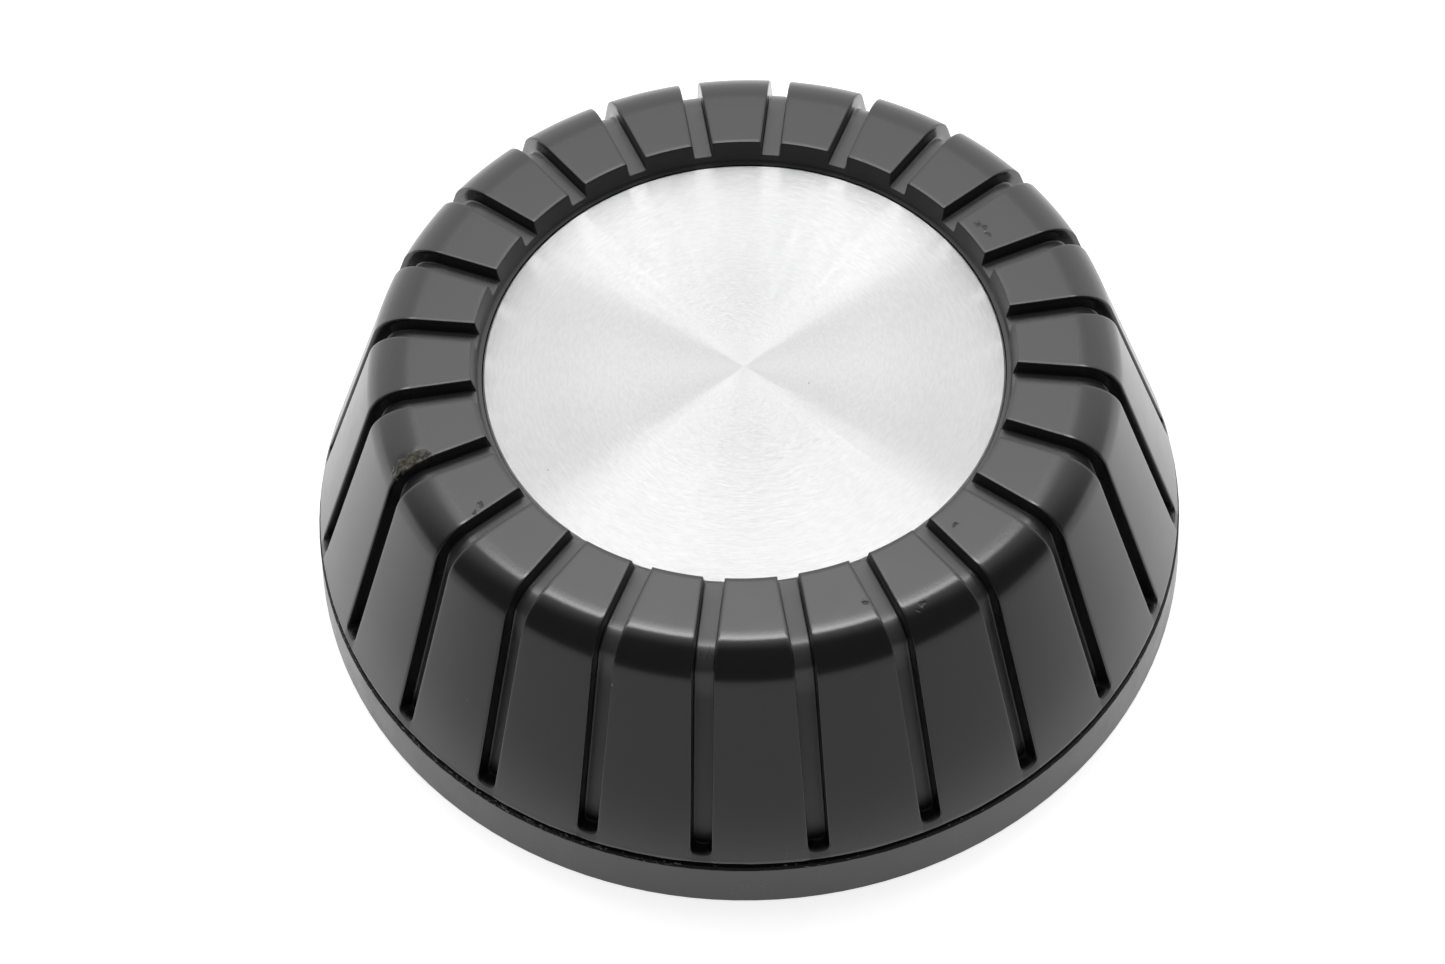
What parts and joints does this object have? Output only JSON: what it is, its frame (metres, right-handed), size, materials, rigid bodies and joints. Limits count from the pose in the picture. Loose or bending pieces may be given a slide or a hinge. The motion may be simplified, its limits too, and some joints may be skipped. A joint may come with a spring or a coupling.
{
  "type": "control knob",
  "caption": "Conical control knob with a grooved black rubber grip sleeve, plain base flange, recessed spun-aluminium face disc and a bore for a 6 mm shaft.",
  "frame": {"origin": "shaft axis in the base plane", "axes": "+Z along the shaft axis, up through the face disc; +Y towards the set screw, at the back; -Y towards the pictured front"},
  "size_m": [0.05, 0.05, 0.0171],
  "materials": {
    "rubber": "satin black rubber, worn at the shoulder",
    "plastic": "satin black moulding",
    "aluminium": "finely turned face",
    "adhesive": "amber adhesive film",
    "brass": "turned brass",
    "steel": "blackened steel"
  },
  "bodies": {
    "root": {"grip_sleeve": "rubber", "core": "plastic", "face_disc": "aluminium", "disc_pad": "adhesive", "shaft_bush": "brass", "set_screw": "steel"}
  },
  "joints": []
}
